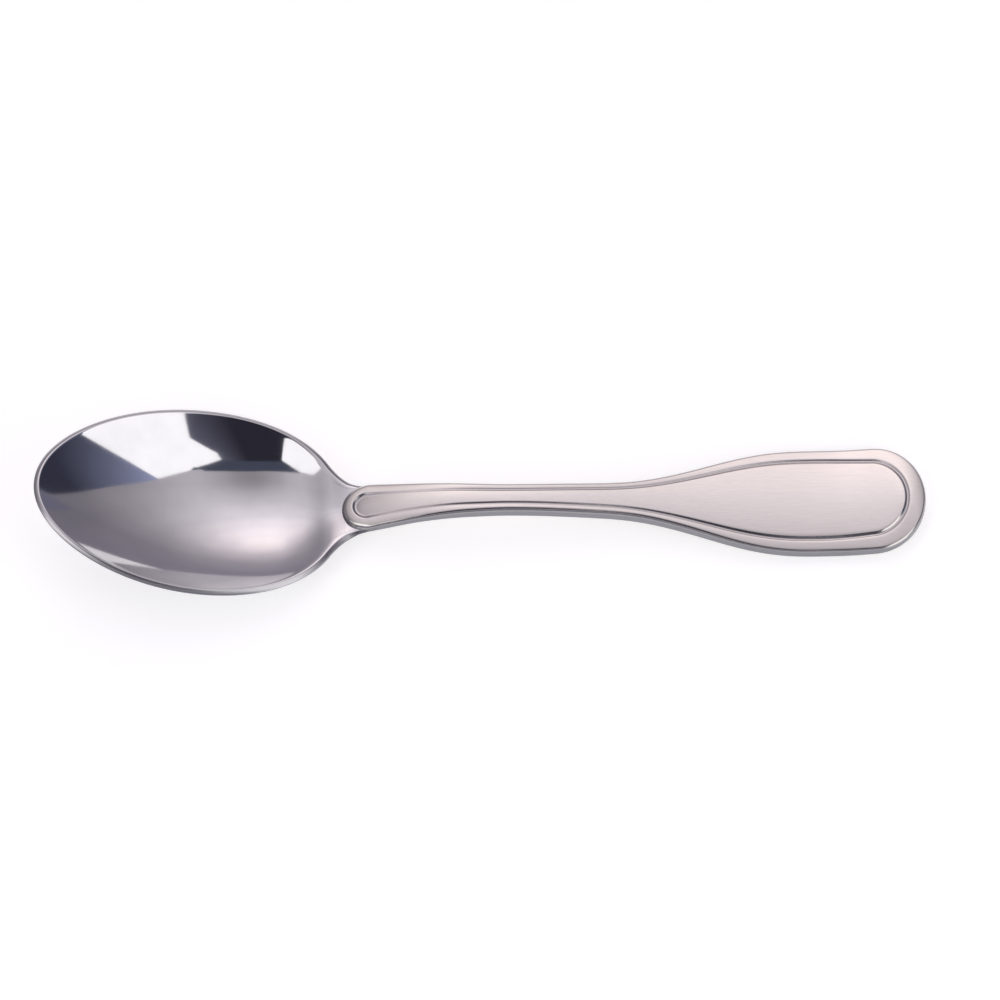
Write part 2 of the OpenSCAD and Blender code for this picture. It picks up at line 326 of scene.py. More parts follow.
    @property
    def belly_depth(self) -> float:
        """Depth of the belly under the rim's outer corner."""
        return self.bowl_depth + self.floor_thickness - self.rim_drop

    @cached_property
    def rim_height(self) -> float:
        """Height of the rim at the bowl's widest place.

        Returns:
            The height that puts the lowest place of the belly on the table.
        """
        samples = 4000
        s = np.linspace(0.0, self.drop, samples)
        left = self.egg_left(s, self.bowl_front, self.bowl_back + self.hollow_run)
        return float(-np.min(self.rim_line(s) - self.rim_drop - self.belly_depth * left))

    @cached_property
    def top_knots(self) -> tuple[Knot, Knot, Knot, Knot]:
        """Knots of the handle's top.

        Returns:
            The knots on the tongue, the arch, the foot and the end.
        """
        tongue = math.tan(math.radians(self.rim_tilt)) * (self.bowl_front - self.tongue)
        height = self.rim_height + tongue - self.tongue_drop
        return (
            Knot(self.tongue, height, math.tan(math.radians(self.tongue_slope))),
            Knot(self.tongue + self.arch_from, height + self.arch_rise),
            Knot(self.foot, self.foot_thickness),
            Knot(self.length, self.end_thickness + self.end_rise, math.tan(math.radians(self.end_slope))),
        )

    def handle_top(self, s: Array) -> Array:
        """Height of the handle's top.

        Args:
            s: distances from the tip.

        Returns:
            A straight lead-in, then cubics to the arch, the foot and the end.
        """
        tongue, arch, foot, _ = self.top_knots
        lead_in = tongue.value + tongue.slope * (s - tongue.s)
        over_arch, to_foot, to_end = (hermite(s, *ends) for ends in pairwise(self.top_knots))
        return np.select([s < tongue.s, s < arch.s, s < foot.s], [lead_in, over_arch, to_foot], to_end)

    def handle_back(self, s: Array) -> Array:
        """Height of the handle's back.

        Args:
            s: distances from the tip.

        Returns:
            The top less the thickness, which is eased between four places.
        """
        places = (self.tongue, self.waist, self.foot, self.length)
        sizes = (self.heel_thickness, self.waist_thickness, self.foot_thickness, self.end_thickness)
        thickness = sizes[0]
        for step, ends in zip(np.diff(sizes), pairwise(places)):
            thickness = thickness + step * rise(s, *ends)
        return self.handle_top(s) - thickness

    @cached_property
    def shoulder(self) -> Knot:
        """Height and slope of the bowl's shoulders where they run out."""
        top = knot_on(self.handle_top, self.join)
        return Knot(top.s, top.value - self.shoulder_step, top.slope)

    def rim(self, s: Array) -> Array:
        """Height of the rim.

        Args:
            s: distances from the tip.

        Returns:
            Its tilted line, eased into the shoulders at the heel.
        """
        start = self.close - self.heel_length
        run_out = self.shoulder.value + self.shoulder.slope * (s - self.join)
        return mix(self.rim_height + self.rim_line(s), run_out, ease((s - start) / (self.join - start)))

    def dish(self, s: Array, y: Array, inset: float) -> Array:
        """Share of the depth at points of the plan.

        Args:
            s: distances from the tip.
            y: distances from the long axis.
            inset: distance of the dish's edge from the rim's outline.

        Returns:
            1 on the bottom and 0 on the edge: in front of the widest place a paraboloid over the
            egg, and behind it the egg's share along the axis times a section across. The share
            ramps up to the tongue, and the section is a parabola that turns to a hyperbola, a
            blunt V, at the heel.
        """
        heel = s - self.close
        ramp = ease((heel + self.ramp_length) / (self.ramp_length + self.hollow_run))
        left = self.egg_left(s, self.bowl_front - inset, self.bowl_back + self.hollow_run)
        left = left * (1 - self.ramp_share * ramp)
        ahead = left - (y / (self.bowl_radius - inset)) ** 2
        fold, u = self.fold_round, y / np.maximum(self.bowl_half(s) - inset, self.least_half)
        blunt = (np.hypot(fold, u) - fold) / (math.hypot(fold, 1.0) - fold)
        section = mix(u**2, blunt, smooth((heel + self.fold_length) / self.fold_length))
        return np.maximum(0.0, np.where(s < self.bowl_front, ahead, left * (1 - section)))

    def hollow(self, plan: Array) -> Array:
        """Height of the bowl's inside: the rim less the depth times the dish."""
        s, y = plan[..., 0], plan[..., 1]
        return self.rim(s) - self.bowl_depth * self.dish(s, y, self.rim_width)

    def underside(self, plan: Array) -> Array:
        """Height of the spoon's underside.

        Args:
            plan: points of the plan.

        Returns:
            The belly, eased into the handle's back.
        """
        s, y = plan[..., 0], plan[..., 1]
        belly = self.rim(s) - self.rim_drop - self.belly_depth * self.dish(s, y, 0.0)
        return mix(belly, self.handle_back(s), ease((s - self.drop) / (self.join - self.drop)))

    def tongue_outline(self, round_steps: int, shoulder_steps: int) -> Array:
        """Outline of the tongue that the handle and the bowl's notch share.

        Args:
            round_steps: steps round the tongue, a quarter of an ellipse.
            shoulder_steps: steps from there along the shoulder.

        Returns:
            Plan points from the tongue's end on the axis to where the shoulders run out.
        """
        angle = np.linspace(0.0, np.pi / 2, round_steps + 1)
        tip = self.tongue + self.tongue_length * (1 - np.cos(angle))
        s = np.linspace(self.tongue_end, self.join, shoulder_steps + 1)[1:]
        half = np.concatenate([self.tongue_width / 2 * np.sin(angle), self.stem_half(s)])
        return np.stack([np.concatenate([tip, s]), half], axis=1)

    def solid(self, plan: Array, height: Array) -> Array:
        """Points in millimetres in the spoon's frame, from plan points and heights."""
        return np.stack([plan[..., 0] - self.length / 2, plan[..., 1], height], axis=-1)


# ---------------------------------------------------------------- meshes


@dataclass
class HalfShell:
    """The +Y half of a closed skin: lines of points from the underside's middle over the edge to
    the top's middle, which its mirror image completes."""

    points: Array
    # Dullness of each point, which makes the steel greyer and rougher: a duller finish on the bowl's rim, and
    # painted shade on the handle
    dull_and_shade: Array
    closed_from: int | None = None
    far_end: bool = False
    # Steps per millimetre that points are rounded to before equal ones are joined
    weld_steps: int = 2000
    # Length in metres that the UV map spans, and the angle in degrees from which an edge is sharp
    uv_length: float = 0.14
    sharp_angle: float = 38.0

    def faces(self) -> Array:
        """Triangles of the half, as numbers of its points.

        Returns:
            Two triangles per cell of the grid, facing outwards, plus the wall that joins the last
            row to the first from the line closed_from on. Each cell is parted so that no triangle
            lies flat on the mirror plane at the ends of the axis.
        """
        lines, rows = self.points.shape[:2]
        wraps = self.closed_from is not None
        i, j = np.meshgrid(np.arange(lines - 1), np.arange(rows if wraps else rows - 1), indexing="ij")
        if wraps:
            kept = (j < rows - 1) | (i >= self.closed_from)
            i, j = i[kept], j[kept]
        i, j = i.ravel(), j.ravel()
        a, b = i * rows + j, (i + 1) * rows + j
        d, c = i * rows + (j + 1) % rows, (i + 1) * rows + (j + 1) % rows
        rising = (j < rows // 2) ^ (self.far_end & (i > lines // 2))
        first = np.where(rising, [a, c, b], [a, d, b])
        second = np.where(rising, [a, d, c], [b, d, c])
        return np.concatenate([first.T, second.T])

    def weld(self, name: str) -> bpy.types.Object:
        """Joins the half to its mirror image as one closed mesh object.

        Args:
            name: name of the new object.

        Returns:
            The object, at the origin, with smooth faces, a UV map along the spoon and the
            attribute of dullness, which also carries the painted shade on the handle.
        """
        half = self.points.reshape(-1, 3)
        faces = self.faces()
        points = np.concatenate([half, half * (1.0, -1.0, 1.0)])
        faces = np.concatenate([faces, faces[:, ::-1] + len(half)])
        dull_and_shade = np.tile(self.dull_and_shade.reshape(-1), 2)
        rounded = np.round(points * self.weld_steps).astype(np.int64)
        _, kept, where = np.unique(rounded, axis=0, return_index=True, return_inverse=True)
        faces = where.reshape(-1)[faces]
        whole = np.all(faces != np.roll(faces, 1, axis=1), axis=1)
        points, faces, dull_and_shade = points[kept] * MM, faces[whole], dull_and_shade[kept]

        mesh = bpy.data.meshes.new(name)
        mesh.from_pydata(points, [], faces)
        mesh.attributes.new("dull_and_shade", "FLOAT", "POINT").data.foreach_set("value", dull_and_shade.astype(np.float32))
        corners = points[faces.reshape(-1)]
        uv = np.stack([corners[:, 0], corners[:, 1] + corners[:, 2]], axis=1) / self.uv_length + 0.5
        mesh.uv_layers.new(name=UV_NAME).data.foreach_set("uv", uv.astype(np.float32).reshape(-1))
        mesh.polygons.foreach_set("use_smooth", np.ones(len(faces), bool))
        mesh.set_sharp_from_angle(angle=math.radians(self.sharp_angle))
        mesh.update()
        piece = bpy.data.objects.new(name, mesh)
        bpy.context.scene.collection.objects.link(piece)
        LOG.info("%s: %d points, %d faces", name, len(points), len(faces))
        return piece


# ---------------------------------------------------------------- finishes


def linear(hex_colour: str) -> Colour:
    """Turns an sRGB colour to a linear one.

    Args:
        hex_colour: the sRGB value, such as "#c8c5c6".

    Returns:
        Linear red, green, blue and alpha.
    """
    srgb = np.array([int(hex_colour[i : i + 2], 16) / 255 for i in (1, 3, 5)])
    rgb = np.where(srgb <= 0.04045, srgb / 12.92, ((srgb + 0.055) / 1.055) ** 2.4)
    return (*map(float, rgb), 1.0)


def new_tree(name: str) -> tuple[bpy.types.Material, Tree]:
    """Makes a material.

    Args:
        name: its name.

    Returns:
        The material and its empty node tree.
    """
    material = bpy.data.materials.new(name)
    material.use_nodes = True
    material.node_tree.nodes.clear()
    return material, material.node_tree


def add_node(tree: Tree, kind: str, sockets: dict, **settings: object) -> bpy.types.Node:
    """Adds a node with its settings and links.

    Args:
        tree: tree that gets the node.
        kind: Blender's name of the node type.
        sockets: for each input, by name or number, a value or the output that it is linked to.
        **settings: properties of the node itself.

    Returns:
        The new node.
    """
    node = tree.nodes.new(kind)
    for name, value in settings.items():
        setattr(node, name, value)
    for name, value in sockets.items():
        if isinstance(value, Socket):
            tree.links.new(value, node.inputs[name])
        else:
            node.inputs[name].default_value = value
    return node


def remap(tree: Tree, value: Socket, span: Pair = (0.0, 1.0), to: tuple = (0.0, 1.0)) -> Socket:
    """Value moved from one span to another, whose ends may be outputs, and held at both ends."""
    ends = {"From Min": span[0], "From Max": span[1], "To Min": to[0], "To Max": to[1]}
    return add_node(tree, "ShaderNodeMapRange", {"Value": value, **ends}).outputs["Result"]


def blend(tree: Tree, share: Socket | float, a: Tint, b: Tint, how: str = "MIX") -> Socket:
    """Blend of two colours, by the share of the second one."""
    sockets = {"Factor": share, "A": a, "B": b}
    return add_node(tree, "ShaderNodeMix", sockets, data_type="RGBA", blend_type=how).outputs["Result"]


def colour_ramp(tree: Tree, share: Socket, stops: list[tuple[float, Colour]]) -> Socket:
    """Adds a colour ramp.

    Args:
        tree: tree that gets the node.
        share: place on the ramp, from 0 to 1.
        stops: pairs of a place and a linear colour, in order.

    Returns:
        The colour at the place.
    """
    node = add_node(tree, "ShaderNodeValToRGB", {"Fac": share})
    elements = node.color_ramp.elements
    while len(elements) < len(stops):
        elements.new(0.5)
    for element, (place, colour) in zip(elements, stops):
        element.position, element.color = place, colour
    return node.outputs["Color"]


def emit(tree: Tree, colour: Tint, strength: float = 1.0) -> None:
    """Ends a material's tree in plain light."""
    light = add_node(tree, "ShaderNodeEmission", {"Color": colour, "Strength": strength})
    add_node(tree, "ShaderNodeOutputMaterial", {"Surface": light.outputs["Emission"]})


class Steel:
    """Stainless steel with fine marks along the spoon, all sizes in millimetres. Its tone and blur
    follow a pattern, and it is greyer and rougher where its dullness attribute is above 0: a duller
    finish on the bowl's rim and shoulders, and painted shade on the handle's sides, groove, step and dip."""

    name: str
    # Colours and roughness, each with the two values of the pattern that they belong to
    colours: tuple[str, str]
    colour_span: Pair
    roughness: Pair
    blur_span: Pair
    # Colour and roughness of dull steel, and the dullness at which that roughness is reached. On the
    # handle the darker colour is painted shade; on the bowl's rim it is a duller finish.
    dull_and_shade_colour: str
    dull_roughness: float
    dull_full: float
    # Length and width of the marks, their number of finer layers, their depth and its strength
    mark_size: Pair
    mark_detail: float
    mark_depth: float = 0.01
    mark_strength: float

    def pattern(self, tree: Tree, place: Socket, marks: Socket) -> Socket:
        """Pattern that the tone and the blur follow: the marks."""
        return marks

    def gloss(self, tree: Tree) -> dict[str, object]:
        """Further inputs of the shader: none."""
        return {}

    def material(self) -> bpy.types.Material:
        """Builds the node material.

        Returns:
            Metal whose tone and blur follow the pattern and change to dull steel, with the marks as
            a bump. On the handle the darker dull colour is painted shade.
        """
        material, tree = new_tree(self.name)
        place = add_node(tree, "ShaderNodeTexCoord", {}).outputs["Object"]
        length, width = self.mark_size
        scale = (1 / (length * MM), 1 / (width * MM), 1 / (width * MM))
        drawn = add_node(tree, "ShaderNodeMapping", {"Vector": place, "Scale": scale}).outputs["Vector"]
        layers = {"Vector": drawn, "Scale": 1.0, "Detail": self.mark_detail}
        marks = add_node(tree, "ShaderNodeTexNoise", layers).outputs["Fac"]
        relief = {"Height": marks, "Strength": self.mark_strength, "Distance": self.mark_depth * MM}
        pattern = self.pattern(tree, place, marks)
        tone = colour_ramp(tree, pattern, list(zip(self.colour_span, map(linear, self.colours))))
        blur = remap(tree, pattern, self.blur_span, self.roughness)
        # Dullness: a greyer, rougher finish on the bowl's rim and shoulders, and painted shade on the
        # handle's sides, groove, step and dip
        dull_and_shade = add_node(tree, "ShaderNodeAttribute", {}, attribute_name="dull_and_shade").outputs["Fac"]
        look = {
            "Base Color": blend(tree, dull_and_shade, tone, linear(self.dull_and_shade_colour)),
            "Metallic": 1.0,
            "Roughness": remap(tree, dull_and_shade, (0.0, self.dull_full), (blur, self.dull_roughness)),
            "Normal": add_node(tree, "ShaderNodeBump", relief).outputs["Normal"],
        }
        shader = add_node(tree, "ShaderNodeBsdfPrincipled", look | self.gloss(tree))
        add_node(tree, "ShaderNodeOutputMaterial", {"Surface": shader.outputs["BSDF"]})
        return material


class MirrorPolishedSteel(Steel):
    """Stainless steel, buffed to a mirror on a cloth wheel.

    It shows its surroundings almost sharply, with a faint haze in soft patches, and here and there
    the drift of the buffing wheel along the spoon. The wheel passes over the cut rim only lightly,
    so the rim has a softer and greyer shine.
    """

    name = "mirror_polished_stainless_steel"
    colours = ("#cccccd", "#c5c5c7")
    colour_span = (0.35, 0.7)
    roughness = (0.05, 0.09)
    blur_span = (0.3, 0.75)
    dull_and_shade_colour = "#8f8d92"
    dull_roughness = 0.3
    dull_full = 0.5
    # The buffing marks are finer than 0.05 mm on the real steel and are drawn 0.3 mm wide, so that
    # they show. Patches of haze are about 6 mm wide.
    mark_size = (9.0, 0.3)
    mark_detail = 2.0
    mark_strength = 0.04
    haze_size: float = 6.0
    haze_detail: float = 3.0

    def pattern(self, tree: Tree, place: Socket, marks: Socket) -> Socket:
        """Pattern that the tone and the blur follow: patches of haze."""
        layers = {"Vector": place, "Scale": 1 / (self.haze_size * MM), "Detail": self.haze_detail}
        return add_node(tree, "ShaderNodeTexNoise", layers).outputs["Fac"]


class SatinSteel(Steel):
    """Stainless steel, brushed along the handle with a fine abrasive belt.

    It gives broad, soft lights that spread across the brushing, with fine streaks along it. The
    belt doesn't reach the groove and the sheared sides, which stay duller. Their darker colour, and that of
    the step at the tongue and the dip behind it, is painted shade.
    """

    name = "satin_brushed_stainless_steel"
    colours = ("#cfccc7", "#c9c6c2")
    colour_span = (0.3, 0.75)
    roughness = (0.13, 0.18)
    blur_span = (0.25, 0.75)
    # The darker colour is painted shade on the sheared sides, the groove, the step at the tongue and the dip;
    # the higher roughness there is the steel's
    dull_and_shade_colour = "#84858c"
    dull_roughness = 0.35
    dull_full = 1.0
    # Belt marks are about 0.03 mm wide on the real steel and are drawn 0.14 mm wide, so that they show.
    mark_size = (7.0, 0.14)
    mark_detail = 3.0
    mark_strength = 0.05
    # How far the lights spread, and the part of a turn from the UV map's direction to the spread
    spread: float = 0.4
    spread_turn: float = 0.25

    def gloss(self, tree: Tree) -> dict[str, object]:
        """Further inputs of the shader.

        Args:
            tree: tree that gets the node.

        Returns:
            The inputs that spread the lights across the brushing.
        """
        along = add_node(tree, "ShaderNodeTangent", {}, direction_type="UV_MAP", uv_map=UV_NAME)
        spread = {"Anisotropic": self.spread, "Anisotropic Rotation": self.spread_turn}
        return spread | {"Tangent": along.outputs["Tangent"]}


# ---------------------------------------------------------------- spoon


@dataclass(frozen=True)
class Bowl:
    """The bowl, with a rounded rim and a notch in its heel that takes the handle's tongue."""

    form: SpoonForm
    front_steps: int = 110
    back_steps: int = 64
    tongue_steps: int = 44
    shoulder_steps: int = 16
    rows: int = 60
    rounding_steps: int = 5
    edge_steps: int = 8
    # The first line's inner end is this part of the way to the widest place
    core_parts: int = 3
    # Place of the corner that the rim's rounded edge bends about: shares of its width and its drop
    bulge: Pair = (0.71, 0.36)
    # Share of the rim's edge that the rounding of each of its two corners takes up
    corner_share: float = 0.12
    # Inset from the rim's corners at which their roundings run out, on most of the rim and, for the
    # inner corner, at the heel, and the places between which it widens
    corner_run: float = 0.15
    heel_run: float = 0.6
    heel_widens: Pair = (34.0, 44.0)
    # Largest shares of a line that the rim, its corners' roundings and the one at the heel take up
    rim_limit: float = 0.4
    corner_limit: float = 0.2
    heel_limit: float = 0.3
    # Dullness of the cut rim and of the shoulders, where 0 is a mirror, and where the shoulders start
    rim_dull: float = 0.45
    shoulder_dull: float = 1.0
    shoulder_run: Pair = (41.0, 47.0)

    def plan(self) -> tuple[Array, Array, int]:
        """Outline of the rim and the inner ends of the surface lines.

        Returns:
            The outline from the tip to the end of the shoulder; for each of its points the inner
            end of its line, on the axis and then round the tongue; and the number of the first
            line that ends on the tongue.
        """
        form = self.form
        neck = (form.drop + form.tongue) / 2
        front = form.bowl_front * (1 - np.cos(np.linspace(0, np.pi / 2, self.front_steps + 1)))
        back = np.linspace(form.bowl_front, neck, self.back_steps + 1)[1:]
        notch = np.linspace(neck, form.join, self.tongue_steps + self.shoulder_steps + 1)[1:]
        s = np.hstack([front, back, notch])
        edge = np.stack([s, form.bowl_half(s)], axis=1)
        edge[0, 1] = 0.0
        first = self.front_steps + self.back_steps
        axis = mix(form.bowl_front / self.core_parts, form.tongue, s[: first + 1] / neck)
        tongue = form.tongue_outline(self.tongue_steps, self.shoulder_steps)
        core = np.concatenate([np.stack([axis, 0 * axis], axis=1), tongue[1:]])
        edge[-1] = core[-1]
        return edge, core, first

    def shell(self) -> HalfShell:
        """Works out the bowl's surface.

        Returns:
            Lines of points from the belly's middle over the rounded rim to the hollow's middle.
        """
        form = self.form
        edge, core, first = self.plan()
        into = inward(edge)
        reach = np.linalg.norm(core - edge, axis=1)
        lip = np.minimum(form.rim_width, self.rim_limit * reach)
        run = np.minimum(self.corner_run, self.corner_limit * reach)
        soft = mix(self.corner_run, self.heel_run, rise(edge[:, 0], *self.heel_widens))
        soft = np.minimum(soft, self.heel_limit * reach)

        def ring(inset: Array) -> Array:
            """The outline moved inwards."""
            return edge + inset[:, None] * into

        t = np.linspace(0.0, 1.0, self.rows + 1)[None, :, None]
        under = mix(core[:, None], ring(run)[:, None], t)
        inside = mix(ring(lip + soft)[:, None], core[:, None], t)
        belly = form.solid(under, form.underside(under))
        hollow = form.solid(inside, form.hollow(inside))
        outer = form.solid(edge, form.rim(edge[:, 0]) - form.rim_drop * lip / form.rim_width)
        inner = form.solid(ring(lip), form.hollow(ring(lip)))
        out, down = self.bulge
        bend = mix(inner, outer, np.array([out, out, down]))
        between = np.linspace(self.corner_share, 1 - self.corner_share, self.edge_steps + 1)
        rim = bezier(outer, bend, inner, between)
        shares = np.linspace(0.0, 1.0, self.rounding_steps + 1)
        low = bezier(belly[:, -1], outer, rim[:, 0], shares)
        high = bezier(rim[:, -1], inner, hollow[:, 0], shares)
        points = np.concatenate([belly, low[:, 1:], rim[:, 1:], high[:, 1:], hollow[:, 1:]], axis=1)
        half = belly.shape[1] + self.rounding_steps // 2
        points[-1, :half], points[-1, half:] = belly[-1, -1], outer[-1]
        cut = mix(self.rim_dull, self.shoulder_dull, rise(edge[:, 0], *self.shoulder_run))
        dull_and_shade = np.zeros(points.shape[:2])
        dull_and_shade[:, belly.shape[1] - 1 : belly.shape[1] + self.rounding_steps + self.edge_steps] = cut[:, None]
        return HalfShell(points, dull_and_shade, closed_from=first)

    def build(self, finish: MirrorPolishedSteel) -> bpy.types.Object:
        """Makes the bowl's mesh, dresses it and puts it in the place of its CAD node.

        Args:
            finish: the steel that it is made of.

        Returns:
            The bowl.
        """
        piece = self.shell().weld("polished_bowl")
        piece.data.materials.append(finish.material())
        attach(piece, "root")
        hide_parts("bowl")
        return piece


@dataclass(frozen=True)
class Handle:
    """The handle, with a raised border, a groove inside it and a crowned panel."""

    form: SpoonForm
    tongue_steps: int = 44
    shoulder_steps: int = 16
    stem_steps: int = 260
    end_steps: int = 56
    back_rows: int = 10
    round_rows: int = 7
    side_rows: int = 4
    border_rows: int = 6
    groove_rows: int = 10
    panel_rows: int = 14
    back_radius: float = 0.5
    tongue_border: float = 1.9
    stem_border: float = 1.25
    side_border: float = 2.1
    end_border: float = 2.9
    # Sizes on the stem and on the broad end
    edge_radius: Pair = (0.65, 0.4)
    groove_width: Pair = (0.75, 1.0)
    groove_depth: Pair = (0.11, 0.2)
    bead: Pair = (0.05, 0.015)
    crown: Pair = (0.25, 0.8)
    # Crown of the tongue and the bulge on the back of the neck
    tongue_crown: float = 0.6
    heel_bulge: float = 0.8
    # What the edge radius loses beside the neck, and the length about the round's end where it starts to
    neck_sharper: float = 0.35
    sharper_run: float = 2.0
    # Depth of the panel under the border at the tongue, and the length over which it comes up again
    panel_dip: float = 0.5
    dip_length: float = 9.0
    # Share of the groove's depth that is left at the tongue, and where the groove comes back
    groove_left: float = 0.35
    groove_fade: Pair = (58.0, 70.0)
    # Distance from the handle's ends within which its lines fan out from the axis, the power with which
    # they do, and the distances from the ends to the places that they fan out from
    fan_run: float = 16.0
    fan_bend: int = 3
    fan_from: Pair = (3.4, 4.4)
    # Dullness and painted shade of the sheared sides, the groove's bottom, the step at the tongue and the
    # dip behind it, where 0 is satin, and the power with which the sides' painted shade fades round the edges
    side_fade: int = 3
    side_painted_shade: float = 0.9
    groove_painted_shade: float = 0.35
    step_painted_shade: float = 0.65
    dip_painted_shade: float = 0.35

    def border(self, s: Array) -> Array:
        """Width of the border.

        Args:
            s: distances from the tip.

        Returns:
            The width, eased from the tongue to the stem, the broad end and round it.
        """
        form = self.form
        full = form.length - form.flare_to
        width = mix(self.stem_border, self.tongue_border, form.neck_left(s))
        width = width + (self.side_border - self.stem_border) * form.flare(s)
        return width + (self.end_border - self.side_border) * smooth((s - full) / form.flare_to)

    def groove(self, s: Array) -> Array:
        """Depth of the groove: faint at the tongue and eased in along the stem."""
        left = mix(self.groove_left, 1.0, rise(s, *self.groove_fade))
        return mix(*self.groove_depth, self.form.flare(s)) * left

    def dip(self, s: Array) -> Array:
        """Depth of the panel under the border: a parabola that ends behind the tongue."""
        start = self.form.tongue + self.tongue_border
        return self.panel_dip * (1 - np.clip((s - start) / self.dip_length, 0.0, 1.0)) ** 2

    def plan(self) -> tuple[Array, Array]:
        """Outline of the handle from the tongue to the end, and the inner ends of its lines.

        Returns:
            The outline on the +Y side, and for each of its points a point on the axis.
        """
        form = self.form
        stem = np.linspace(form.join, form.round_start, self.stem_steps + 1)[1:]
        angle = np.linspace(0, np.pi / 2, self.end_steps + 1)[1:]
        s = np.hstack([stem, form.round_start + form.end_round * np.sin(angle)])
        half = np.hstack([form.stem_half(stem), form.broad_width / 2 * np.cos(angle)])
        tongue = form.tongue_outline(self.tongue_steps, self.shoulder_steps)
        edge = np.concatenate([tongue, np.stack([s, half], axis=1)])
        edge[-1, 1] = 0.0
        s = edge[:, 0]
        runs = (s - form.tongue, form.length - s)
        start, stop = ((1 - np.clip(run / self.fan_run, 0, 1)) ** self.fan_bend for run in runs)
        axis = s + self.fan_from[0] * start - self.fan_from[1] * stop
        return edge, np.stack([axis, 0 * axis], axis=1)

    def shell(self) -> HalfShell:
        """Works out the handle's surface.

        Returns:
            Lines of points from the back's middle over the side, the border and the groove to the
            panel's middle.
        """
        form = self.form
        edge, core = self.plan()
        into = inward(edge)
        border = self.border(edge[:, 0])[:, None]
        reach = np.linalg.norm(core - edge, axis=1)[:, None]
        broad = form.flare(edge[:, :1])
        radius, groove_width, bead, crown = (
            mix(*pair, broad) for pair in (self.edge_radius, self.groove_width, self.bead, self.crown)
        )
        neck = form.neck_left(edge[:, :1])
        crown = crown + (self.tongue_crown - self.crown[0]) * neck
        beside = smooth((edge[:, :1] - form.tongue_end + self.sharper_run / 2) / self.sharper_run)
        radius = radius - self.neck_sharper * neck * beside

        def inset(distance: Array) -> Array:
            """Plan points at the given distances inside the outline."""
            return edge[:, None] + distance[..., None] * into[:, None]

        def arched(share: Array) -> Array:
            """Share of an arch's height at shares of the way from the outline to the axis."""
            return 1 - (1 - share) ** 2

        turn = np.linspace(0, np.pi / 2, self.round_rows + 1)[None]
        # Back: a flat with a bulge at the neck, and a rounded edge that starts behind the shoulders
        back_inset = np.broadcast_to(self.back_radius * (1 - np.cos(turn[:, ::-1])), (len(edge), turn.size))
        back_edge = inset(back_inset)
        behind = smooth((edge[:, :1] - form.join) / form.tongue_width)
        lift = self.back_radius * behind * (1 - np.sin(turn[:, ::-1]))
        bulge = self.heel_bulge * neck
        sunk = bulge * arched(back_inset / reach)
        back_round = form.solid(back_edge, form.underside(back_edge) + lift - sunk)
        t = np.linspace(0, 1, self.back_rows + 1)[None, :-1]
        flat = mix(core[:, None], back_edge[:, :1], t[..., None])
        flat_share = mix(1.0, back_inset[:, :1] / reach, t)
        back = form.solid(flat, form.underside(flat) - bulge * arched(flat_share))
        # Border: a round edge, a bead, and a groove with a cosine section
        lip = border - groove_width / 2
        groove = np.linspace(-1, 1, self.groove_rows + 1)[None, 1:]
        bed = (1 + np.cos(np.pi * groove)) / 2
        level = mix(radius, lip, np.linspace(0, 1, self.border_rows + 1)[None, 1:])
        distance = np.hstack([radius * (1 - np.cos(turn)), level, border + groove * groove_width / 2])
        relief = np.hstack([radius * (np.sin(turn) - 1), 0 * level, -self.groove(edge[:, :1]) * bed])
        relief = relief + bead * np.sin(np.pi * np.clip(distance / lip, 0, 1))
        rail_plan = inset(distance)
        groove_dip = self.dip(rail_plan[:, -self.groove_rows :, 0])
        relief[:, -self.groove_rows :] -= smooth((groove + 1) / 2) * groove_dip
        rail_height = form.handle_top(rail_plan[..., 0]) + relief + crown * arched(distance / reach)
        rail = form.solid(rail_plan, rail_height)
        # Panel: the crown, from the groove to the axis
        u = np.linspace(0, 1, self.panel_rows + 1)[None, 1:]
        panel_plan = mix(rail_plan[:, -1:], core[:, None], u[..., None])
        panel_share = mix(distance[:, -1:] / reach, 1.0, u)
        dip = self.dip(panel_plan[..., 0])
        panel_height = form.handle_top(panel_plan[..., 0]) - dip + crown * arched(panel_share)
        panel = form.solid(panel_plan, panel_height)
        up = np.linspace(0, 1, self.side_rows + 1)[None, 1:-1, None]
        side = mix(back_round[:, -1:], rail[:, :1], up)

        points = np.concatenate([back, back_round, side, rail, panel], axis=1)
        # Painted shade, with a rougher finish: full on the sheared sides and fading round their edges, in the
        # groove's bottom, on the step at the tongue and in the dip behind it
        fade = self.side_painted_shade * np.cos(turn[0]) ** self.side_fade
        sides = np.hstack([fade[::-1], np.full(self.side_rows - 1, self.side_painted_shade), fade])
        rows = np.hstack([np.zeros(self.back_rows), sides, np.zeros(self.border_rows)])
        step = self.groove_painted_shade * bed + self.step_painted_shade * groove_dip * bed / self.panel_dip
        dull_and_shade = np.hstack([np.tile(rows, (len(edge), 1)), step, self.dip_painted_shade * dip / self.panel_dip])
        return HalfShell(points, dull_and_shade, far_end=True)

    def build(self, finish: SatinSteel) -> bpy.types.Object:
        """Makes the handle's mesh, dresses it and puts it in the place of its CAD node.

        Args:
            finish: the steel that it is made of.

        Returns:
            The handle.
        """
        piece = self.shell().weld("satin_handle")
        piece.data.materials.append(finish.material())
        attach(piece, "root")
        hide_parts("handle")
        return piece


# ---------------------------------------------------------------- studio


class Tone(Enum):
    """Colour and strength of a studio board's light."""

    WHITE = ("#fffcff", 1.62)
    PALE = ("#f3ecf1", 1.0)
    SKY = ("#b2b7db", 1.0)
    GREY = ("#b2adb4", 1.0)
    SLATE = ("#7f7d92", 1.0)
    NAVY = ("#3d3e4f", 1.0)
    RAIL = ("#525667", 1.0)
    BLACK = ("#34333f", 1.0)

    def light(self) -> Colour:
        """Linear colour times strength."""
        colour, strength = self.value
        return (*(strength * channel for channel in linear(colour)[:3]), 1.0)


